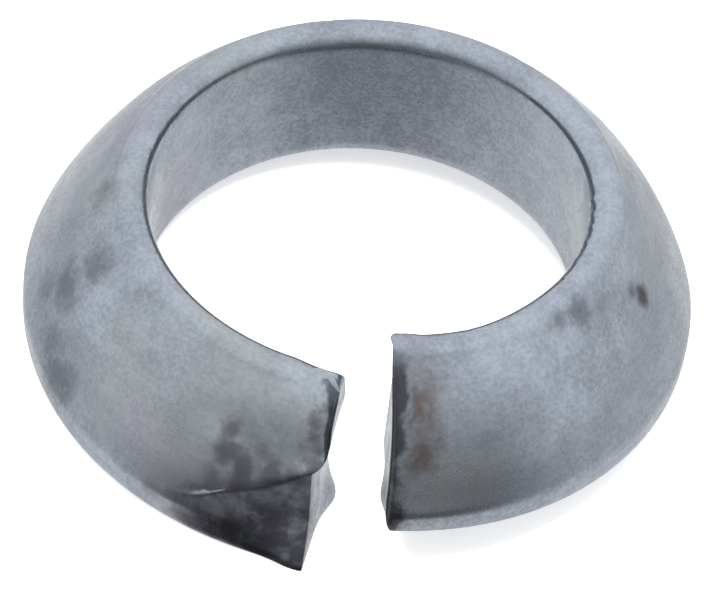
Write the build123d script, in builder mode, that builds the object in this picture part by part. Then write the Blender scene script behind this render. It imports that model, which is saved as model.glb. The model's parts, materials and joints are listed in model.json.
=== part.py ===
"""Conical spring washer: a split ring coiled from wedge-section spring steel.

It sits on its wide flat seat, with the narrow rounded rim up and the gap facing -Y.
The bore is the Z axis, and the seat starts at the origin's height at the left wire end.
The wire climbs clockwise, seen from above, from the end left of the gap to the end
right of it, so the two ends stand at different heights.
"""

import os
from math import atan2, cos, degrees, radians, sin

from build123d import *

# Driving dimensions, in millimetres and degrees.
bore_radius = 9.25
outer_radius = 14.35
wire_height = 6.98
rim_radius = 0.8  # rounded crown on the narrow end
bore_bevel = 0.2  # bevel where the bore meets the seat
land_height = 1.05  # upright band round the wide end
face_bulge = 0.37  # how far the conical face stands out from a straight cone
lead = 2.27  # climb of the wire in one full turn
gap_angle = 11.0  # split between the two ends, at the bore
left_shear = 7.6  # each end is sheared off true radial, wider at the outside
right_shear = 1.0

# The dented tip of the left end: a flat knocked into the lower half of the conical face.
flat_length = 6.5  # along the wire, from the end
flat_depth = 0.5  # how far the flat reaches under the conical face, at the end
flat_height = 3.5  # from the seat up to the ledge above the flat, at the end
flat_toe = 0.1  # how far the flat reaches into the land's foot, at the end
flat_overrun = 1.3  # the ledge's line is run on past the end by this much

bore_stock = 0.1  # left inside the coiled wire for the bore to be cut from
station_count = 24  # wire sections that the coil is lofted through
tool_reach = 2.0  # how far each cutting tool runs past the wire
tool_margin = 0.3  # how far each end's tool runs past the deepest corner it shears off

wall = outer_radius - bore_radius
coiled_angle = 360.0 - gap_angle
left_angle = -90.0 - gap_angle / 2
right_angle = -90.0 + gap_angle / 2
right_seat = lead * coiled_angle / 360
crown_centre = (bore_radius - bore_stock + rim_radius, wire_height - rim_radius)
land_top = (outer_radius, land_height)


def crown_tangent():
    """The point where a straight line from the land's top edge meets the rim's crown."""
    run = Vector(land_top[0] - crown_centre[0], land_top[1] - crown_centre[1])
    lean = degrees(atan2(run.Y, run.X))
    spread = degrees(atan2((run.length**2 - rim_radius**2) ** 0.5, rim_radius))
    turn = radians(lean + spread)
    return (crown_centre[0] + rim_radius * cos(turn), crown_centre[1] + rim_radius * sin(turn))


def wire_plane(turn):
    """The upright plane of the wire's section, that many degrees along the coil."""
    angle = radians(left_angle - turn)
    return Plane(
        origin=(0, 0, lead * turn / 360),
        x_dir=(cos(angle), sin(angle), 0),
        z_dir=(sin(angle), -cos(angle), 0),
    )


def shear_plane(angle, seat, shear, side):
    """An end's sheared face: x outwards along the face, z towards the gap."""
    end = radians(angle)
    face = radians(angle - side * shear)
    return Plane(
        origin=(bore_radius * cos(end), bore_radius * sin(end), seat),
        x_dir=(cos(face), sin(face), 0),
        z_dir=(-side * sin(face), side * cos(face), 0),
    )


def on_wire(radius, height, along):
    """A point on the wire that far from the left end, measured round the outside."""
    turn = degrees(along / outer_radius)
    angle = radians(left_angle - turn)
    return Vector(radius * cos(angle), radius * sin(angle), height + lead * turn / 360)


def cone_radius(height):
    """The radius of the straight cone from the land's top edge to the crown."""
    tangent = crown_tangent()
    slope = (tangent[0] - land_top[0]) / (tangent[1] - land_top[1])
    return land_top[0] + slope * (height - land_height)


with BuildPart() as washer:
    # The coiled wire, lofted through its wedge section.
    for station in range(station_count + 1):
        with BuildSketch(wire_plane(coiled_angle * station / station_count)):
            with BuildLine():
                inside = bore_radius - bore_stock
                crown_inner = (inside, crown_centre[1])
                crown_top = (crown_centre[0], wire_height)
                bevel_top = (inside, bore_bevel + bore_stock)
                seat_inner = (bore_radius + bore_bevel, 0)
                seat_outer = (outer_radius, 0)
                Polyline(crown_inner, bevel_top, seat_inner, seat_outer, land_top)
                SagittaArc(land_top, crown_tangent(), face_bulge)
                ThreePointArc(crown_tangent(), crown_top, crown_inner)
            make_face()
    loft()

    # The bore, true and round through the whole climb.
    with Locations((0, 0, (wire_height + lead) / 2)):
        Cylinder(
            bore_radius,
            wire_height + lead + 2 * tool_reach,
            mode=Mode.SUBTRACT,
        )

    # The two sheared ends.
    for angle, seat, shear, side in (
        (left_angle, 0, left_shear, 1),
        (right_angle, right_seat, right_shear, -1),
    ):
        with BuildSketch(shear_plane(angle, seat, shear, side)):
            with Locations((wall / 2, 0)):
                Rectangle(wall + 2 * tool_reach, 2 * (wire_height + tool_reach))
        extrude(amount=wall * sin(radians(shear)) + tool_margin, mode=Mode.SUBTRACT)

    # The knocked flat at the left end, with a ledge above it.
    toe = on_wire(outer_radius - flat_toe, 0, 0)
    ledge_end = on_wire(cone_radius(flat_height) - flat_depth, flat_height, 0)
    run_out = on_wire(outer_radius, land_height, flat_length)
    flat_plane = Plane(
        origin=run_out,
        x_dir=toe - run_out,
        z_dir=(toe - run_out).cross(ledge_end - run_out),
    )
    with BuildSketch(flat_plane):
        ledge = flat_plane.to_local_coords(ledge_end) * flat_overrun
        with BuildLine():
            Polyline(
                (0, 0),
                (ledge.X, ledge.Y),
                (ledge.X, -tool_reach),
                (0, -tool_reach),
                close=True,
            )
        make_face()
    extrude(amount=tool_reach, mode=Mode.SUBTRACT)

os.makedirs("parts", exist_ok=True)
washer.part.label = "spring_washer"
export_step(washer.part, "parts/spring_washer.step")
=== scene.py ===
"""Look of the conical spring washer: the coiled ring, its zinc plating and a pale studio.

Laid out as an add-on, and run as a script. Lengths are metres, and the ring stands in the
frame of the construction model: the bore is the Z axis and the gap faces -Y.
"""

import json
from math import asin, atan2, cos, pi, radians, sin

import bpy
import numpy as np
from bpy.props import FloatProperty, FloatVectorProperty, IntProperty, PointerProperty
from mathutils import Matrix, Vector


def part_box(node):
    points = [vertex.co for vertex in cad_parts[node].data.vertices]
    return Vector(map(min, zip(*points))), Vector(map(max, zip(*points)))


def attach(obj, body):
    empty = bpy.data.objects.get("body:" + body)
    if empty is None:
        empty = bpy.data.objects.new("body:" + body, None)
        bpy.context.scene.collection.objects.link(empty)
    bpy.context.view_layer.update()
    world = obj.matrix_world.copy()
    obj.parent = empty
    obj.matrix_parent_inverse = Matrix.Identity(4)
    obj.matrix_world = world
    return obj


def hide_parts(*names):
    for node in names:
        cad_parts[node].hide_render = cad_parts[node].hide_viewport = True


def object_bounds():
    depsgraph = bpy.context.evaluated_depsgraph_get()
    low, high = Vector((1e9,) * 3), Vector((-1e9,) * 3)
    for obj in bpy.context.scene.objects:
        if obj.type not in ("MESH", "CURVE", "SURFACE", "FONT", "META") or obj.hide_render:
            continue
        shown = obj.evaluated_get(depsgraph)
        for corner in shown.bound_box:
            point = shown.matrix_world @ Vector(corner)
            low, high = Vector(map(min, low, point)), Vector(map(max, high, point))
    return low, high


bl_info = {
    "name": "Conical Spring Washer",
    "version": (1, 0, 0),
    "blender": (4, 5, 0),
    "location": "View3D > Sidebar > Washer",
    "description": "Builds a coiled conical spring washer, its zinc plating and a studio",
    "category": "Object",
}

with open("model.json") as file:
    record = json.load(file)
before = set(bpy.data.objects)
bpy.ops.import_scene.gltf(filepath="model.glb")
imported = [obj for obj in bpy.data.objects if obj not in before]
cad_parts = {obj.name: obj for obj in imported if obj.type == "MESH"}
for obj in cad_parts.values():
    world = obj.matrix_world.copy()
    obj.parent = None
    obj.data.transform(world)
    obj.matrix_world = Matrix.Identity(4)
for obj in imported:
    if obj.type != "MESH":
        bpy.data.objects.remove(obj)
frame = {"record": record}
cad_low, cad_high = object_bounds()

MM = 0.001
NODE = "spring_washer"
BORE = next(mount for mount in frame["record"]["mounts"] if mount["name"] == "bore")
NODE_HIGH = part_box(NODE)[1]


# Sizes and colours ------------------------------------------------------------------


class RingSizes(bpy.types.PropertyGroup):
    """The coiled wire's section, its climb and its two ends."""

    bore_radius: FloatProperty(
        name="Bore Radius",
        description="Radius of the plain bore",
        default=BORE["dims"]["r_mm"] * MM,
        unit="LENGTH",
    )
    outer_radius: FloatProperty(
        name="Outer Radius",
        description="Radius of the wide end",
        default=NODE_HIGH.x,
        unit="LENGTH",
    )
    lead: FloatProperty(
        name="Lead",
        description="Climb of the wire in one full turn",
        default=2.27 * MM,
        unit="LENGTH",
    )
    gap_angle: FloatProperty(
        name="Gap",
        description="Split between the two ends, at the bore",
        default=radians(11.0),
        subtype="ANGLE",
    )
    rim_radius: FloatProperty(
        name="Rim Radius",
        description="Radius of the rounded crown on the narrow end",
        default=0.8 * MM,
        unit="LENGTH",
    )
    bore_bevel: FloatProperty(
        name="Bore Bevel",
        description="Bevel where the bore meets the seat",
        default=0.2 * MM,
        unit="LENGTH",
    )
    land_height: FloatProperty(
        name="Land Height",
        description="Height of the upright band round the wide end",
        default=1.05 * MM,
        unit="LENGTH",
    )
    face_bulge: FloatProperty(
        name="Face Bulge",
        description="How far the conical face stands out from a straight cone",
        default=0.37 * MM,
        unit="LENGTH",
    )
    flat_length: FloatProperty(
        name="Flat Length",
        description="Length of the knocked flat along the wire, from the left end",
        default=7.0 * MM,
        unit="LENGTH",
    )
    flat_depth: FloatProperty(
        name="Flat Depth",
        description="How far the flat reaches under the conical face at the left end",
        default=0.75 * MM,
        unit="LENGTH",
    )
    flat_height: FloatProperty(
        name="Flat Height",
        description="Height of the ledge above the flat at the left end",
        default=3.5 * MM,
        unit="LENGTH",
    )
    wall_faces: IntProperty(
        name="Wall Faces",
        description="Faces across the seat and over the rim",
        default=22,
    )
    height_faces: IntProperty(
        name="Height Faces",
        description="Faces up the bore and up the conical face",
        default=36,
    )
    coil_steps: IntProperty(
        name="Coil Steps",
        description="Steps that the section takes round the coil",
        default=680,
    )


class ZincFinish(bpy.types.PropertyGroup):
    """Colours of the bluish zinc plating, its handling marks, and the shade and reflections
    painted onto it.
    """

    plate: FloatVectorProperty(
        name="Plate",
        description="Colour of the clean plating",
        default=(0.37, 0.415, 0.48),
        subtype="COLOR",
    )
    dull: FloatVectorProperty(
        name="Dull",
        description="Colour of the plating where it has dulled",
        default=(0.20, 0.22, 0.255),
        subtype="COLOR",
    )
    smudge_and_shade: FloatVectorProperty(
        name="Smudge And Shade",
        # Colour of the dark smudges, and of the painted shade and dark reflections on the struck
        # flat and at both ends
        description="Colour of the dark smudges and of the struck flat",
        default=(0.045, 0.045, 0.055),
        subtype="COLOR",
    )
    straw: FloatVectorProperty(
        name="Straw",
        description="Warm passivation tint",
        default=(0.36, 0.385, 0.36),
        subtype="COLOR",
    )
    rose: FloatVectorProperty(
        name="Rose",
        description="Pink passivation tint",
        default=(0.36, 0.35, 0.41),
        subtype="COLOR",
    )
    # Painted reflection: the brown of the surroundings, mirrored where the face rolls towards the
    # gap.
    brown: FloatVectorProperty(
        name="Brown",
        description="Colour of the brown stain beside the right end",
        # Colour of the painted brown reflection beside the right end
        default=(0.14, 0.115, 0.11),
        subtype="COLOR",
    )


class StudioSetup(bpy.types.PropertyGroup):
    """Camera place, light strengths and the floor."""

    azimuth: FloatProperty(
        name="Camera Azimuth",
        description="Camera's turn round the bore from straight in front of the gap",
        default=-0.0882,
        subtype="ANGLE",
    )
    elevation: FloatProperty(
        name="Camera Elevation",
        description="Camera's height angle above the seat",
        default=0.7941,
        subtype="ANGLE",
    )
    roll: FloatProperty(
        name="Camera Roll",
        description="Camera's turn about its own line of sight",
        default=0.1235,
        subtype="ANGLE",
    )
    distance: FloatProperty(
        name="Camera Distance",
        description="From the camera to the point it aims at",
        default=151.65 * MM,
        unit="LENGTH",
    )
    aim_height: FloatProperty(
        name="Aim Height",
        description="Height on the bore's axis that the camera aims at",
        default=2.02 * MM,
        unit="LENGTH",
    )
    lens: FloatProperty(
        name="Lens",
        description="Focal length in millimetres, for a 36 mm sensor",
        default=178.1,
    )
    shift: FloatVectorProperty(
        name="Camera Shift",
        description="Shift of the frame, right and up, as shares of its width",
        default=(-0.0029, -0.0153),
        size=2,
    )
    floor: FloatVectorProperty(
        name="Floor",
        description="Colour of the floor",
        default=(0.93, 0.93, 0.935),
        subtype="COLOR",
    )
    floor_glow: FloatProperty(
        name="Floor Glow",
        description="Light that the floor gives off, which keeps the shadow faint",
        default=0.45,
    )
    softbox_power: FloatProperty(
        name="Softbox Power",
        description="Power of the softbox above the ring, in watts",
        default=2.6,
    )
    sky_strength: FloatProperty(
        name="Sky Strength",
        description="Brightness of the light all round",
        default=1.0,
    )


# Shape of the ring ------------------------------------------------------------------


def blend_up(value, low, high):
    """0 below low, 1 above high and a smooth rise between them, for arrays."""
    share = np.clip((value - low) / (high - low), 0, 1)
    return share * share * (3 - 2 * share)


def bell(value, centre, width):
    """1 where value is at centre, fading to 0 over the width on both sides, for arrays."""
    return np.exp(-(((value - centre) / width) ** 2))


def rolled(along, radius):
    """How far a corner rolled to radius falls back, that far along from its end."""
    return radius - np.sqrt(np.maximum(radius**2 - np.clip(radius - along, 0, radius) ** 2, 0))


class WireSection:
    """The wedge section of the wire: radius r and height h above the wire's own seat."""

    def __init__(self, sizes, wire_height):
        self.bore = sizes.bore_radius
        self.outer = sizes.outer_radius
        self.height = wire_height
        self.rim = sizes.rim_radius
        self.bevel = sizes.bore_bevel
        self.land = sizes.land_height
        self.bulge = sizes.face_bulge
        self.crown = Vector((self.bore + self.rim, wire_height - self.rim))
        run = Vector((self.outer, self.land)) - self.crown
        self.lean = atan2(run.y, run.x) + pi / 2 - asin(self.rim / run.length)
        self.shoulder = self.crown + self.rim * Vector((cos(self.lean), sin(self.lean)))

    def outside(self, share):
        """Up the land and the conical face, from the seat to the crown."""
        base = Vector((self.outer, 0))
        land_top = Vector((self.outer, self.land))
        slope = self.shoulder - land_top
        walked = share * (self.land + slope.length)
        if walked <= self.land:
            return base.lerp(land_top, walked / self.land)
        part = (walked - self.land) / slope.length
        outward = Vector((slope.y, -slope.x)).normalized()
        return land_top + slope * part + outward * self.bulge * 4 * part * (1 - part)

    def inside(self, share):
        """Up the bevel and the bore wall."""
        low = Vector((self.bore + self.bevel, 0))
        bevel_top = Vector((self.bore, self.bevel))
        walked = share * self.crown.y
        if walked <= self.bevel:
            return low.lerp(bevel_top, walked / self.bevel)
        return Vector((self.bore, walked))

    def seat(self, share):
        """Across the seat, from the bevel to the land."""
        return Vector((self.bore + self.bevel, 0)).lerp(Vector((self.outer, 0)), share)

    def over_rim(self, share):
        """Over the crown, from the bore wall to the conical face."""
        turn = pi + (self.lean - pi) * share
        return self.crown + self.rim * Vector((cos(turn), sin(turn)))

    def point(self, across, up):
        """A point inside the section, spread evenly between its four sides."""
        sides = self.seat(across) * (1 - up) + self.over_rim(across) * up
        sides += self.inside(up) * (1 - across) + self.outside(up) * across
        corners = self.seat(0) * (1 - across) * (1 - up) + self.seat(1) * across * (1 - up)
        corners += self.over_rim(0) * (1 - across) * up + self.over_rim(1) * across * up
        return sides - corners

    def face_radius(self, height):
        """Radius of the outer side at each height, for an array of heights."""
        walk = [self.outside(step / 60) for step in range(61)]
        walk += [self.over_rim(1 - step / 30) for step in range(1, 16)]
        return np.interp(height, [p.y for p in walk], [p.x for p in walk])


def wire_height(sizes):
    """Height of the wire's section: the whole ring's, less the climb of the coil."""
    return NODE_HIGH.z - sizes.lead * (2 * pi - sizes.gap_angle) / (2 * pi)


def on_face(section, sizes, turn, level):
    """The point of the conical face at that turn in degrees and height in millimetres."""
    radius = float(section.face_radius(level * MM))
    angle = radians(-90 - turn) - sizes.gap_angle / 2
    return radius * cos(angle), radius * sin(angle), level * MM + sizes.lead * turn / 360


def coil_section(sizes, section):
    """Spins the wire's section into a closed ring, as a new object, and returns it."""
    bpy.ops.object.select_all(action="DESELECT")
    bpy.ops.mesh.primitive_grid_add(
        x_subdivisions=sizes.wall_faces, y_subdivisions=sizes.height_faces, size=1
    )
    ring = bpy.context.object
    ring.name = ring.data.name = "coiled_ring"
    left = radians(-90) - sizes.gap_angle / 2
    for vertex in ring.data.vertices:
        place = section.point(vertex.co.x + 0.5, vertex.co.y + 0.5)
        vertex.co = (place.x * cos(left), place.x * sin(left), place.y)
    bpy.ops.object.mode_set(mode="EDIT")
    bpy.ops.mesh.select_all(action="SELECT")
    bpy.ops.mesh.spin(
        steps=sizes.coil_steps,
        angle=2 * pi - sizes.gap_angle,
        center=(0, 0, 0),
        axis=(0, 0, 1),
    )
    bpy.ops.mesh.select_all(action="SELECT")
    bpy.ops.mesh.remove_doubles(threshold=0.0001 * MM)
    bpy.ops.mesh.normals_make_consistent(inside=False)
    bpy.ops.object.mode_set(mode="OBJECT")
    return ring


class RingPlaces:
    """Each vertex of the ring as radius, height above the wire's seat, and turn."""

    def __init__(self, ring, sizes):
        flat = np.zeros(len(ring.data.vertices) * 3)
        ring.data.vertices.foreach_get("co", flat)
        x, y, z = flat.reshape(-1, 3).T
        self.left = radians(-90) - sizes.gap_angle / 2
        self.coiled = 2 * pi - sizes.gap_angle
        self.radius = np.hypot(x, y)
        self.height = z.copy()
        backlash = 0.01
        self.turn = (self.left - np.arctan2(y, x) + backlash) % (2 * pi) - backlash
        self.lead = sizes.lead

    def write(self, ring):
        """Puts the vertices back, lifted by the climb of the coil."""
        angle = self.left - self.turn
        z = self.height + self.lead * self.turn / (2 * pi)
        places = np.stack([self.radius * np.cos(angle), self.radius * np.sin(angle), z], 1)
        ring.data.vertices.foreach_set("co", places.ravel())
        ring.data.update()


# The ledge over the struck flat: distance along from the left end, and height, both as
# shares of the flat's length and of its height at the end.
LEDGE = (
    (0.0, 1.18),
    (0.1, 1.06),
    (0.24, 0.93),
    (0.44, 0.82),
    (0.66, 0.66),
    (0.79, 0.52),
    (1.0, 0.38),
    (1.3, 0.33),
)


def ledge_height(along, sizes):
    """Height of the ledge over the struck flat, that far along from the left end."""
    steps, heights = zip(*LEDGE)
    return sizes.flat_height * np.interp(along / sizes.flat_length, steps, heights)


def follow_ledge(places, section, sizes):
    """Slides the rows of vertices up or down the wire, so that one row runs on the ledge."""
    along = places.turn * sizes.outer_radius
    face = section.face_radius(places.height)
    share = (places.radius - section.bore) / np.maximum(face - section.bore, 0.05 * MM)
    relaxed = blend_up(along, 1.3 * sizes.flat_length, 3.5 * sizes.flat_length)
    row = sizes.flat_height
    ledge = ledge_height(along, sizes) * (1 - relaxed) + row * relaxed
    top = section.crown.y
    lower = places.height * ledge / row
    upper = ledge + (places.height - row) * (top - ledge) / (top - row)
    kept = np.where(places.height < top, upper, places.height)
    slid = np.where(places.height < row, lower, kept)
    places.under_ledge = places.height < row - 0.02 * MM
    places.height = slid
    face = section.face_radius(slid)
    places.radius = section.bore + share * (face - section.bore)


def strike_flat(places, section, sizes):
    """Knocks the flat into the lower half of the left end, below its ledge."""
    along = places.turn * sizes.outer_radius
    radius, height = places.radius, places.height
    whole = section.face_radius(height)
    foot = sizes.outer_radius + 0.08 * MM
    ledge = section.face_radius(sizes.flat_height) - sizes.flat_depth
    share = np.clip(height / sizes.flat_height, 0, LEDGE[0][1])
    at_end = foot + (ledge - foot) * share - 0.1 * MM * np.sin(pi * share)
    run_out = np.clip(along / sizes.flat_length, 0, 1)
    struck = at_end + (whole - at_end) * run_out**1.3
    flare = bell(along, 0, 1.6 * MM) * (1 - blend_up(height, 0, 2 * MM))
    carved = np.minimum(whole, struck) + 0.38 * MM * flare
    near = places.under_ledge & (along < sizes.flat_length)
    squeeze(places, section, whole, np.where(near, carved, whole))


def squeeze(places, section, whole, target):
    """Moves the outer side from radius whole to radius target, and all inside it alike."""
    depth = places.radius - section.bore
    share = (target - section.bore) / np.maximum(whole - section.bore, 0.05 * MM)
    places.radius = np.where(depth > 0, section.bore + depth * share, places.radius)


# Dents and swellings of the conical face: turn from the left end in degrees, height,
# size along and up in millimetres, and depth in millimetres (a swelling is negative).
FACE_MARKS = (
    (21.0, 4.8, 1.6, 0.7, 0.06),
    (13.0, 4.1, 1.3, 0.5, 0.07),
    (31.0, 2.2, 2.2, 0.8, -0.04),
    (58.0, 1.9, 1.5, 0.9, 0.08),
    (67.0, 5.2, 1.1, 0.8, 0.08),
    (69.0, 3.2, 1.1, 1.4, 0.10),
    (88.0, 4.6, 1.8, 0.9, -0.04),
    (103.0, 5.3, 1.2, 0.6, 0.05),
    (127.0, 3.6, 3.0, 1.4, 0.05),
    (262.0, 5.2, 2.4, 0.8, 0.05),
    (284.8, 4.9, 0.7, 0.5, 0.09),
    (305.0, 6.2, 1.1, 0.5, 0.06),
)


# Turns of the burrs on the rim's inner edge, in degrees from the left end.
BURRS = (266.0, 272.0, 277.0, 283.0, 291.0)


def dent_face(places, section, sizes):
    """Adds the handling dents and the slow unevenness of the rolled face."""
    along = places.turn * sizes.outer_radius
    height = places.height
    whole = section.face_radius(height)
    target = whole.copy()
    for turn, level, length, rise, depth in FACE_MARKS:
        centre = (radians(turn) * sizes.outer_radius, level * MM)
        mark = bell(along, centre[0], length * MM) * bell(height, centre[1], rise * MM)
        target -= depth * MM * mark
    up = height / section.height
    wave = np.sin(places.turn * 5 + 1.0) * 0.6 + np.sin(places.turn * 11 + up * 3) * 0.4
    target += 0.03 * MM * wave * np.sin(pi * np.clip(up, 0, 1))
    squeeze(places, section, whole, target)


def left_set_back(up, wall, reach, under_ledge, crown):
    """Millimetres that the left end face falls back, by height, wall and reach."""
    slope = 0.67 * wall
    crown_corner = 0.5 * blend_up(up, 6.0, crown)
    bore_hollow = 0.2 * bell(up, 2.2, 1.1) * (1 - wall) ** 2
    heel = -0.4 * bell(up, 0, 0.8) * bell(wall, 0.22, 0.2)
    worn_heel = 0.3 * bell(up, 0, 1.8) * bell(wall, 0, 0.1)
    bore_bulge = -0.12 * bell(up, 5, 0.8) * (1 - reach)
    under = 0.5 * reach**1.5 * np.clip(up / 3.4, 0, 1) ** 1.5
    nose = -0.22 * reach**2 * bell(up, 4.2, 0.45)
    face = slope + crown_corner + bore_hollow + heel + worn_heel + bore_bulge
    return face + np.where(under_ledge, under, nose)


def right_set_back(up, wall, reach, crown):
    """Millimetres that the right end face falls back, by height, wall and reach."""
    slope = 0.12 * (1 - wall)
    belly = -0.24 * bell(up, 0, 1.6) * bell(wall, 0.65, 0.25)
    land_bulge = -0.08 * wall * bell(up, 0, 1.2)
    outer_bulge = -0.34 * reach**2
    crown_lean = -0.12 * blend_up(up, 4.0, crown)
    worn_toe = 0.4 * bell(up, 0, 0.6) * blend_up(wall, 0.55, 1.0)
    return slope + belly + land_bulge + outer_bulge + crown_lean + worn_toe


def shear_ends(places, section, sizes):
    """Gives both wire ends their sheared faces, lips and swellings."""
    wall = (places.radius - section.bore) / (sizes.outer_radius - section.bore)
    face = section.face_radius(places.height)
    reach = np.clip((places.radius - section.bore) / (face - section.bore), 0, 1)
    up, crown = places.height / MM, section.height / MM
    from_left = places.turn * places.radius
    from_right = (places.coiled - places.turn) * places.radius
    left = left_set_back(up, wall, reach, places.under_ledge, crown)
    left = left * MM * bell(from_left, 0, 2.0 * MM) / places.radius
    right = right_set_back(up, wall, reach, crown)
    right = right * MM * bell(from_right, 0, 1.6 * MM) / places.radius
    near_left = places.turn < places.coiled / 2
    places.turn = np.where(near_left, places.turn + left, places.turn - right)


def round_corner(places, section, sizes):
    """Rolls the corners between the conical face and both end faces."""
    along_left = places.turn * sizes.outer_radius / MM
    along_right = (places.coiled - places.turn) * sizes.outer_radius / MM
    up = places.height / MM
    whole = section.face_radius(places.height)
    facet = np.clip(1.7 - along_left, 0, 1.7)
    left = (0.28 * rolled(along_left, 1.8) + 0.26 * facet) * blend_up(up, 4.0, 4.4)
    right = 0.7 * rolled(along_right, 0.55) * blend_up(up, 0.2, 1.4)
    target = whole - (left + right) * MM
    thinnest = section.bore + 0.55 * (whole - section.bore)
    squeeze(places, section, whole, np.maximum(target, thinnest))


def settle_rim(places, section, sizes):
    """Lowers the rim where it was knocked, and lifts the land at the right end."""
    along_left = places.turn * section.bore / MM
    along_right = (places.coiled - places.turn) * section.bore / MM
    wall = (places.radius - section.bore) / (sizes.outer_radius - section.bore)
    high = blend_up(places.height, 5.2 * MM, section.height)
    low = 1 - blend_up(places.height, 0, 2.2 * MM)
    left_drop = 0.5 * np.clip(1 - along_left / 1.9, 0, 1) ** 1.4
    right_drop = 0.16 * bell(along_right, 3.4, 2.2) - 0.10 * bell(along_right, 0.4, 0.45)
    lift = 0.36 * np.clip(1 - along_right / 6, 0, 1) ** 1.6 * np.clip(wall, 0, 1)
    sag = 0.2 * bell(np.degrees(places.turn), 120, 38) * (1 - wall) ** 2
    places.height = places.height + (lift * low - (left_drop + right_drop) * high - sag * low) * MM


def nick_rim(places, section):
    """Small nicks and burrs on the crown and on the rim's inner edge."""
    rng = np.random.default_rng(7)
    nicks = 18
    up = blend_up(places.height, section.height - 1.2 * MM, section.height)
    for turn, depth, length in zip(
        rng.uniform(0.3, places.coiled - 0.3, nicks),
        rng.uniform(0.008, 0.035, nicks),
        rng.uniform(0.12, 0.45, nicks),
    ):
        along = (places.turn - turn) * section.bore / MM
        places.height = places.height - depth * MM * bell(along, 0, length) * up
    inner = (1 - blend_up(places.radius, section.bore, section.bore + 0.5 * MM)) * up
    for turn in np.radians(BURRS):
        along = (places.turn - turn) * section.bore / MM
        places.radius = places.radius - 0.05 * MM * bell(along, 0, 0.16) * inner


def soften(ring):
    """Wears every edge a little with a Smooth modifier, then applies it."""
    modifier = ring.modifiers.new("worn_edges", "SMOOTH")
    modifier.factor = 0.5
    modifier.iterations = 2
    bpy.ops.object.select_all(action="DESELECT")
    ring.select_set(True)
    bpy.context.view_layer.objects.active = ring
    bpy.ops.object.modifier_apply(modifier=modifier.name)


class WASHER_OT_coil_ring(bpy.types.Operator):
    """Coil the split ring and give it its sheared ends, flat and handling marks"""

    bl_idname = "washer.coil_ring"
    bl_label = "Coil Ring"

    def execute(self, context):
        sizes = context.scene.washer_ring
        section = WireSection(sizes, wire_height(sizes))
        ring = coil_section(sizes, section)
        places = RingPlaces(ring, sizes)
        follow_ledge(places, section, sizes)
        strike_flat(places, section, sizes)
        dent_face(places, section, sizes)
        round_corner(places, section, sizes)
        settle_rim(places, section, sizes)
        nick_rim(places, section)
        shear_ends(places, section, sizes)
        places.write(ring)
        soften(ring)
        bpy.ops.object.shade_smooth_by_angle(angle=radians(50))
        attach(ring, "root")
        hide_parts(NODE)
        return {"FINISHED"}


# Zinc plating -----------------------------------------------------------------------


def add_node(tree, kind, place, **settings):
    """A new node at place, with its settings."""
    node = tree.nodes.new(kind)
    node.location = place
    for name, value in settings.items():
        setattr(node, name, value)
    return node


def new_group(name, inputs, outputs):
    """An empty shader node group with named sockets, and its two end nodes."""
    group = bpy.data.node_groups.new(name, "ShaderNodeTree")
    for label, kind, value in inputs:
        socket = group.interface.new_socket(label, in_out="INPUT", socket_type=kind)
        if value is not None:
            socket.default_value = value
    for label, kind in outputs:
        group.interface.new_socket(label, in_out="OUTPUT", socket_type=kind)
    start = add_node(group, "NodeGroupInput", (-1200, 0))
    end = add_node(group, "NodeGroupOutput", (700, 0))
    return group, start, end


FLOAT, COLOUR, VECTOR = "NodeSocketFloat", "NodeSocketColor", "NodeSocketVector"


def add_noise(tree, source, place, scale, detail=3.0, roughness=0.55, shift=(0, 0, 0)):
    """Noise of so many features a metre, moved by shift so that no two are alike."""
    move = add_node(tree, "ShaderNodeMapping", (place[0] - 200, place[1]))
    move.inputs["Location"].default_value = shift
    noise = add_node(tree, "ShaderNodeTexNoise", place)
    noise.inputs["Scale"].default_value = scale
    noise.inputs["Detail"].default_value = detail
    noise.inputs["Roughness"].default_value = roughness
    tree.links.new(source, move.inputs["Vector"])
    tree.links.new(move.outputs["Vector"], noise.inputs["Vector"])
    return noise.outputs["Fac"]


def add_range(tree, source, place, low, high, to_low=0.0, to_high=1.0):
    """Stretches source from low..high to to_low..to_high, smoothly and clamped."""
    node = add_node(tree, "ShaderNodeMapRange", place, interpolation_type="SMOOTHSTEP")
    limits = {"From Min": low, "From Max": high, "To Min": to_low, "To Max": to_high}
    for name, value in limits.items():
        node.inputs[name].default_value = value
    tree.links.new(source, node.inputs["Value"])
    return node.outputs["Result"]


def add_math(tree, operation, place, first, second=None):
    """A Math node on sockets or plain numbers."""
    node = add_node(tree, "ShaderNodeMath", place, operation=operation)
    for socket, value in zip(node.inputs, (first, second)):
        if isinstance(value, (int, float)):
            socket.default_value = value
        elif value is not None:
            tree.links.new(value, socket)
    return node.outputs[0]


def add_mix(tree, place, factor, first, second, blend="MIX"):
    """A colour Mix node; each input is a socket, a number or a colour."""
    node = add_node(tree, "ShaderNodeMix", place, data_type="RGBA", blend_type=blend)
    for name, value in (("Factor", factor), ("A", first), ("B", second)):
        socket = next(s for s in node.inputs if s.name == name and s.enabled)
        if isinstance(value, bpy.types.NodeSocket):
            tree.links.new(value, socket)
        else:
            socket.default_value = value
    return next(s for s in node.outputs if s.name == "Result" and s.enabled)


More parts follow.
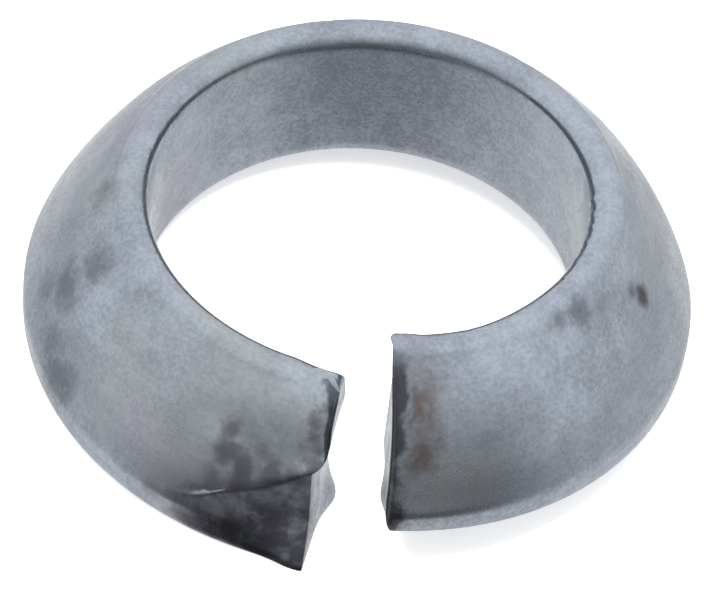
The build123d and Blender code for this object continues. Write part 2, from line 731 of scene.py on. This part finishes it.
def plating_group(finish):
    """Cloudy zinc plating: broad dull areas, fine mottle and faint straw and rose tints."""
    group, start, end = new_group(
        "cloudy_plating",
        (
            ("Vector", VECTOR, None),
            ("Plate", COLOUR, (*finish.plate, 1)),
            ("Dull", COLOUR, (*finish.dull, 1)),
            ("Straw", COLOUR, (*finish.straw, 1)),
            ("Rose", COLOUR, (*finish.rose, 1)),
        ),
        (("Color", COLOUR), ("Cloud", FLOAT), ("Grain", FLOAT)),
    )
    vector = start.outputs["Vector"]
    broad = add_noise(group, vector, (-800, 300), 170, 3, 0.6)
    middle = add_noise(group, vector, (-800, 100), 900, 5, 0.68, (0.3, 0.1, 0.2))
    grain = add_noise(group, vector, (-800, -100), 5200, 2, 0.6, (0.7, 0.2, 0.9))
    warm = add_noise(group, vector, (-800, -300), 140, 2, 0.5, (0.11, 0.52, 0.37))
    pink = add_noise(group, vector, (-800, -500), 120, 2, 0.5, (0.83, 0.26, 0.64))
    broad_part = add_range(group, broad, (-550, 300), 0.34, 0.66, -0.05, 0.32)
    middle_part = add_range(group, middle, (-550, 100), 0.33, 0.68, 0.0, 0.28)
    grain_part = add_range(group, grain, (-550, -100), 0.3, 0.7, -0.1, 0.26)
    cloud = add_math(group, "ADD", (-350, 200), broad_part, middle_part)
    cloud = add_math(group, "ADD", (-200, 100), cloud, grain_part)
    tone = add_mix(group, (0, 100), cloud, start.outputs["Plate"], start.outputs["Dull"])
    warm_part = add_range(group, warm, (-300, -300), 0.5, 0.72, 0.0, 0.4)
    pink_part = add_range(group, pink, (-300, -500), 0.52, 0.72, 0.0, 0.5)
    tone = add_mix(group, (180, 100), warm_part, tone, start.outputs["Straw"])
    tone = add_mix(group, (360, 100), pink_part, tone, start.outputs["Rose"])
    group.links.new(tone, end.inputs["Color"])
    group.links.new(cloud, end.inputs["Cloud"])
    group.links.new(grain, end.inputs["Grain"])
    return group


def smudge_and_shade_group():
    """A ragged patch round a centre: 1 in the middle and 0 outside its size."""
    group, start, end = new_group(
        "smudge_and_shade",
        (
            ("Vector", VECTOR, None),
            ("Centre", VECTOR, (0, 0, 0)),
            ("Size", FLOAT, 0.001),
            ("Strength", FLOAT, 1.0),
        ),
        (("Mask", FLOAT),),
    )
    away = add_node(group, "ShaderNodeVectorMath", (-800, 200), operation="DISTANCE")
    group.links.new(start.outputs["Vector"], away.inputs[0])
    group.links.new(start.outputs["Centre"], away.inputs[1])
    share = add_math(group, "DIVIDE", (-600, 200), away.outputs["Value"], start.outputs["Size"])
    rag = add_noise(group, start.outputs["Vector"], (-600, -100), 1300, 4, 0.6, (0.4, 0.6, 0.1))
    rag = add_range(group, rag, (-400, -100), 0.3, 0.7, -0.25, 0.25)
    edge = add_math(group, "ADD", (-200, 100), share, rag)
    mask = add_range(group, edge, (0, 100), 0.1, 1.25, 1.0, 0.0)
    mask = add_math(group, "MULTIPLY", (250, 100), mask, start.outputs["Strength"])
    group.links.new(mask, end.inputs["Mask"])
    return group


def streak_group():
    """Fine rolling lines that run along the wire, and sparse bright or dark scratches."""
    group, start, end = new_group(
        "rolling_lines", (("Vector", VECTOR, None),), (("Lines", FLOAT), ("Scratches", FLOAT))
    )
    split = add_node(group, "ShaderNodeSeparateXYZ", (-1000, 0))
    group.links.new(start.outputs["Vector"], split.inputs[0])
    turn = add_math(group, "ARCTAN2", (-850, 200), split.outputs["X"], split.outputs["Y"])
    span = add_node(group, "ShaderNodeVectorMath", (-850, -100), operation="LENGTH")
    flat = add_node(group, "ShaderNodeCombineXYZ", (-1000, -250))
    group.links.new(split.outputs["X"], flat.inputs["X"])
    group.links.new(split.outputs["Y"], flat.inputs["Y"])
    group.links.new(flat.outputs[0], span.inputs[0])
    round_wire = add_node(group, "ShaderNodeCombineXYZ", (-650, 0))
    group.links.new(add_math(group, "MULTIPLY", (-750, 300), turn, 0.0008), round_wire.inputs["X"])
    group.links.new(span.outputs["Value"], round_wire.inputs["Y"])
    group.links.new(split.outputs["Z"], round_wire.inputs["Z"])
    lines = add_noise(group, round_wire.outputs[0], (-300, 200), 4200, 2, 0.5)
    scratch = add_noise(group, round_wire.outputs[0], (-300, -100), 2300, 4, 0.7, (0.2, 0.5, 0.8))
    scratch = add_range(group, scratch, (0, -100), 0.66, 0.74)
    group.links.new(lines, end.inputs["Lines"])
    group.links.new(scratch, end.inputs["Scratches"])
    return group


# Dark patches on the outer face, smudges and painted shade: turn from the left end in degrees,
# height and size in millimetres, and strength.
SMUDGES_AND_SHADE = (
    # Painted shade beside the ledge over the struck flat.
    (6.0, 3.6, 1.2, 0.75),
    (10.5, 3.5, 1.1, 0.7),
    (15.0, 3.5, 1.1, 0.75),
    (19.0, 3.8, 0.9, 0.7),
    (19.8, 4.6, 0.7, 0.65),
    (13.0, 4.1, 0.8, 0.5),
    # Painted shade on the left end's upper corner, where its facet turns towards the gap, and two
    # faint darker patches further along.
    (1.2, 5.0, 1.1, 0.85),
    (1.2, 6.0, 0.9, 0.8),
    (10.0, 5.2, 1.8, 0.3),
    (17.0, 4.9, 1.3, 0.3),
    (2.8, 5.7, 0.9, 0.8),
    (2.6, 4.9, 1.0, 0.85),
    (3.2, 4.2, 0.9, 0.8),
    # Painted shade and dark reflection on the struck flat.
    (2.0, 1.0, 3.4, 0.95),
    (9.0, 0.9, 3.0, 0.95),
    (15.5, 0.7, 2.3, 0.9),
    (21.0, 0.5, 1.5, 0.7),
    # Smudges on the face.
    (20.5, 2.7, 0.7, 0.5),
    (30.0, 1.0, 0.7, 0.35),
    (57.5, 1.6, 1.5, 0.5),
    (63.0, 2.3, 1.2, 0.4),
    (67.0, 5.4, 1.1, 0.5),
    (68.4, 3.9, 1.4, 0.5),
    (74.0, 3.0, 1.1, 0.3),
    (84.0, 6.2, 0.9, 0.4),
    (284.8, 4.9, 0.65, 0.9),
    (287.5, 5.4, 0.5, 0.6),
    (304.0, 6.4, 0.9, 0.55),
    (310.0, 6.5, 0.7, 0.45),
    (297.0, 6.0, 0.8, 0.3),
)


def add_smudges_and_shade(tree, vector, sizes):
    """One mask for all the dark smudges and painted shade of the outer face."""
    section = WireSection(sizes, wire_height(sizes))
    smudge_and_shade = smudge_and_shade_group()
    dark = None
    for index, (turn, level, size, strength) in enumerate(SMUDGES_AND_SHADE):
        patch = add_node(tree, "ShaderNodeGroup", (-1700, -50 - 40 * index))
        patch.node_tree = smudge_and_shade
        patch.inputs["Centre"].default_value = on_face(section, sizes, turn, level)
        patch.inputs["Size"].default_value = size * MM
        patch.inputs["Strength"].default_value = strength
        tree.links.new(vector, patch.inputs["Vector"])
        mask = patch.outputs["Mask"]
        dark = mask if dark is None else add_math(tree, "MAXIMUM", (-1400, -50), dark, mask)
    return dark


def add_reach(tree, vector, place, direction):
    """Distance from the bore's axis along a direction, in metres."""
    node = add_node(tree, "ShaderNodeVectorMath", place, operation="DOT_PRODUCT")
    node.inputs[1].default_value = direction
    tree.links.new(vector, node.inputs[0])
    return node.outputs["Value"]


def add_end_reflections(tree, vector, sizes):
    """Masks of the painted brown reflection and of the painted dark reflection along the edge
    beside the right end, where the face rolls towards the gap.
    """
    end_angle = radians(-90) + sizes.gap_angle / 2
    away = add_reach(tree, vector, (-1700, -1000), (-sin(end_angle), cos(end_angle), 0))
    outward = add_reach(tree, vector, (-1700, -1400), (cos(end_angle), sin(end_angle), 0))
    rag = add_noise(tree, vector, (-1700, -1200), 700, 4, 0.6)
    rag = add_range(tree, rag, (-1500, -1200), 0.3, 0.7, -0.35 * MM, 0.35 * MM)
    from_end = add_math(tree, "ADD", (-1400, -1000), away, rag)
    on_cone = add_range(tree, outward, (-1400, -1400), 10.2 * MM, 11.2 * MM)
    off_land = add_range(tree, outward, (-1400, -1600), 13.2 * MM, 13.8 * MM, 1, 0)
    # Painted brown reflection: a band a little way back from the right end, broken up by noise.
    begin = add_range(tree, from_end, (-1200, -1000), 0.25 * MM, 0.7 * MM)
    finish_at = add_range(tree, from_end, (-1200, -1200), 0.9 * MM, 2.3 * MM, 1, 0)
    patchiness = add_noise(tree, vector, (-1200, -1900), 420, 4, 0.65, (0.9, 0.4, 0.3))
    patchiness = add_range(tree, patchiness, (-1000, -1900), 0.36, 0.6, 0.3, 0.9)
    brown_reflection = add_math(tree, "MULTIPLY", (-1000, -1000), begin, finish_at)
    for step, mask in enumerate((on_cone, off_land, patchiness)):
        brown_reflection = add_math(tree, "MULTIPLY", (-900 + 100 * step, -1100), brown_reflection, mask)
    # Painted dark reflection along the right end's edge.
    edge = add_range(tree, from_end, (-1200, -1500), 0.0, 0.6 * MM, 0.9, 0)
    right_side = add_range(tree, away, (-1200, -1700), -0.6 * MM, -0.3 * MM)
    for step, mask in enumerate((right_side, on_cone)):
        edge = add_math(tree, "MULTIPLY", (-1000 + 100 * step, -1500), edge, mask)
    return brown_reflection, edge


class WASHER_OT_plate_zinc(bpy.types.Operator):
    """Make the zinc plating with its smudges, painted shade and painted reflections, and put it on
    the ring
    """

    bl_idname = "washer.plate_zinc"
    bl_label = "Plate With Zinc"

    def execute(self, context):
        finish = context.scene.washer_finish
        sizes = context.scene.washer_ring
        material = bpy.data.materials.new("zinc_plating")
        material.use_nodes = True
        tree = material.node_tree
        shader = tree.nodes["Principled BSDF"]
        place = add_node(tree, "ShaderNodeTexCoord", (-2200, 0))
        vector = place.outputs["Object"]

        plating = add_node(tree, "ShaderNodeGroup", (-1700, 300))
        plating.node_tree = plating_group(finish)
        tree.links.new(vector, plating.inputs["Vector"])
        streaks = add_node(tree, "ShaderNodeGroup", (-1700, -700))
        streaks.node_tree = streak_group()
        tree.links.new(vector, streaks.inputs["Vector"])

        # Smudges with painted shade and dark reflections, and the painted brown reflection beside
        # the right end, laid over the plating.
        dark = add_smudges_and_shade(tree, vector, sizes)
        brown_reflection, edge = add_end_reflections(tree, vector, sizes)
        dark = add_math(tree, "MAXIMUM", (-800, -50), dark, edge)

        tone = add_mix(tree, (-600, 300), brown_reflection, plating.outputs["Color"], (*finish.brown, 1))
        tone = add_mix(tree, (-450, 300), dark, tone, (*finish.smudge_and_shade, 1))
        lift = add_range(tree, streaks.outputs["Lines"], (-700, -500), 0.3, 0.7, 0.97, 1.03)
        lined = add_node(tree, "ShaderNodeHueSaturation", (-300, 300))
        tree.links.new(lift, lined.inputs["Value"])
        tree.links.new(tone, lined.inputs["Color"])
        tree.links.new(lined.outputs["Color"], shader.inputs["Base Color"])

        rough = add_range(tree, plating.outputs["Cloud"], (-600, 0), 0.0, 0.6, 0.13, 0.28)
        tree.links.new(rough, shader.inputs["Roughness"])
        shader.inputs["Metallic"].default_value = 0.92

        relief = add_math(tree, "MULTIPLY", (-600, -300), plating.outputs["Grain"], 0.5)
        relief = add_math(tree, "ADD", (-450, -300), relief, plating.outputs["Cloud"])
        scored = add_math(tree, "MULTIPLY", (-450, -450), streaks.outputs["Scratches"], -0.6)
        relief = add_math(tree, "ADD", (-300, -350), relief, scored)
        bump = add_node(tree, "ShaderNodeBump", (-150, -300))
        bump.inputs["Strength"].default_value = 0.12
        bump.inputs["Distance"].default_value = 0.02 * MM
        tree.links.new(relief, bump.inputs["Height"])
        tree.links.new(bump.outputs["Normal"], shader.inputs["Normal"])

        ring = bpy.data.objects["coiled_ring"]
        ring.data.materials.clear()
        ring.data.materials.append(material)
        return {"FINISHED"}


# Studio -----------------------------------------------------------------------------


def soft_light(name, place, aim, size, power):
    """A square softbox at place, facing aim, that the plating doesn't mirror."""
    light = bpy.data.lights.new(name, "AREA")
    light.size = size
    light.energy = power
    lamp = bpy.data.objects.new(name, light)
    bpy.context.collection.objects.link(lamp)
    lamp.location = place
    lamp.visible_glossy = False
    lamp.rotation_euler = (Vector(aim) - Vector(place)).to_track_quat("-Z", "Y").to_euler()


def set_camera(studio):
    """The camera, turned about its line of sight so that the ring hangs as it should."""
    azimuth, elevation = studio.azimuth, studio.elevation
    back = Vector(
        (sin(azimuth) * cos(elevation), -cos(azimuth) * cos(elevation), sin(elevation))
    )
    level = Vector((cos(azimuth), sin(azimuth), 0))
    upright = back.cross(level)
    right = level * cos(studio.roll) + upright * sin(studio.roll)
    up = back.cross(right)
    data = bpy.data.cameras.new("camera")
    camera = bpy.data.objects.new("camera", data)
    bpy.context.collection.objects.link(camera)
    data.lens = studio.lens
    data.sensor_width = 36
    data.shift_x, data.shift_y = studio.shift
    data.clip_start, data.clip_end = 0.01, 10
    turn = Matrix((right, up, back)).transposed()
    spot_on_axis = Vector((0, 0, studio.aim_height))
    camera.matrix_world = Matrix.LocRotScale(
        spot_on_axis + back * studio.distance, turn.to_quaternion(), None
    )
    bpy.context.scene.camera = camera


# Grey of the light all round and of the light in front of the ring, at each height of the
# direction it comes from: straight down is -1, level 0 and straight up 1.
LIGHT_ALL_ROUND = (
    (-0.8, 0.95),
    (-0.4, 0.85),
    (-0.14, 0.68),
    (0.0, 0.95),
    (0.1, 0.7),
    (0.2, 0.25),
    (0.7, 0.22),
    (0.84, 0.3),
    (0.93, 1.1),
    (1.0, 1.2),
)
LIGHT_IN_FRONT = (
    (-0.72, 0.92),
    (-0.62, 0.08),
    (-0.12, 0.06),
    (0.1, 0.55),
    (0.4, 0.72),
    (0.6, 0.9),
    (0.7, 2.4),
    (0.76, 5.4),
    (0.85, 5.0),
    (0.93, 1.3),
)
# Share of the light in front, at each depth of the direction: -1 is towards the gap's side.
FACING_FRONT = ((-0.75, 1.0), (-0.3, 0.0))


def add_grey_ramp(tree, source, place, stops):
    """A grey ramp over one direction, from -1 to 1, as (place, grey) stops."""
    spread = add_node(tree, "ShaderNodeMapRange", (place[0] - 200, place[1]))
    spread.inputs["From Min"].default_value = -1
    tree.links.new(source, spread.inputs["Value"])
    node = add_node(tree, "ShaderNodeValToRGB", place)
    tree.links.new(spread.outputs[0], node.inputs["Fac"])
    elements = node.color_ramp.elements
    for index, (position, grey) in enumerate(stops):
        stop = elements[index] if index < 2 else elements.new(0.5)
        stop.position = (position + 1) / 2
        stop.color = (grey, grey, grey, 1)
    return node.outputs["Color"]


def set_sky(strength):
    """Light all round: a bright room with a dark stretch low down in front of the ring."""
    world = bpy.data.worlds.new("soft_room")
    world.use_nodes = True
    tree = world.node_tree
    background = tree.nodes["Background"]
    place = add_node(tree, "ShaderNodeTexCoord", (-1300, 0))
    split = add_node(tree, "ShaderNodeSeparateXYZ", (-1100, 0))
    tree.links.new(place.outputs["Generated"], split.inputs[0])
    height, depth = split.outputs["Z"], split.outputs["Y"]
    all_round = add_grey_ramp(tree, height, (-600, 200), LIGHT_ALL_ROUND)
    in_front = add_grey_ramp(tree, height, (-600, -100), LIGHT_IN_FRONT)
    facing = add_grey_ramp(tree, depth, (-600, -400), FACING_FRONT)
    mix = add_node(tree, "ShaderNodeMix", (-250, 0), data_type="RGBA")
    tree.links.new(facing, mix.inputs["Factor"])
    tree.links.new(all_round, mix.inputs["A"])
    tree.links.new(in_front, mix.inputs["B"])
    tree.links.new(mix.outputs["Result"], background.inputs["Color"])
    background.inputs["Strength"].default_value = strength
    bpy.context.scene.world = world


class WASHER_OT_set_studio(bpy.types.Operator):
    """Lay the pale floor and set the lights and the camera"""

    bl_idname = "washer.set_studio"
    bl_label = "Set Studio"

    def execute(self, context):
        studio = context.scene.washer_studio
        bpy.ops.object.select_all(action="DESELECT")
        bpy.ops.mesh.primitive_plane_add(size=1.2, location=(0, 0, cad_low.z))
        floor = bpy.context.object
        floor.name = "floor"
        paint = bpy.data.materials.new("pale_floor")
        paint.use_nodes = True
        shader = paint.node_tree.nodes["Principled BSDF"]
        shader.inputs["Base Color"].default_value = (*studio.floor, 1)
        shader.inputs["Roughness"].default_value = 0.9
        shader.inputs["Specular IOR Level"].default_value = 0.1
        shader.inputs["Emission Color"].default_value = (1, 1, 1, 1)
        shader.inputs["Emission Strength"].default_value = studio.floor_glow
        floor.data.materials.append(paint)
        floor.visible_glossy = False
        soft_light("top_softbox", (-0.02, 0.04, 0.34), (0, 0, 0), 0.3, studio.softbox_power)
        set_sky(studio.sky_strength)
        set_camera(studio)
        context.scene.view_settings.view_transform = "Standard"
        return {"FINISHED"}


class WASHER_PT_panel(bpy.types.Panel):
    """The washer's sizes, colours and steps."""

    bl_idname = "WASHER_PT_panel"
    bl_label = "Conical Spring Washer"
    bl_space_type = "VIEW_3D"
    bl_region_type = "UI"
    bl_category = "Washer"

    def draw(self, context):
        for group, steps in (
            ("washer_ring", (WASHER_OT_coil_ring,)),
            ("washer_finish", (WASHER_OT_plate_zinc,)),
            ("washer_studio", (WASHER_OT_set_studio,)),
        ):
            box = self.layout.box()
            settings = getattr(context.scene, group)
            for name in settings.__annotations__:
                box.prop(settings, name)
            for step in steps:
                box.operator(step.bl_idname)


CLASSES = (
    RingSizes,
    ZincFinish,
    StudioSetup,
    WASHER_OT_coil_ring,
    WASHER_OT_plate_zinc,
    WASHER_OT_set_studio,
    WASHER_PT_panel,
)


def register():
    for cls in CLASSES:
        bpy.utils.register_class(cls)
    bpy.types.Scene.washer_ring = PointerProperty(type=RingSizes)
    bpy.types.Scene.washer_finish = PointerProperty(type=ZincFinish)
    bpy.types.Scene.washer_studio = PointerProperty(type=StudioSetup)


def unregister():
    del bpy.types.Scene.washer_ring
    del bpy.types.Scene.washer_finish
    del bpy.types.Scene.washer_studio
    for cls in reversed(CLASSES):
        bpy.utils.unregister_class(cls)


def main():
    register()
    bpy.ops.washer.coil_ring()
    bpy.ops.washer.plate_zinc()
    bpy.ops.washer.set_studio()


if __name__ == "__main__":
    main()
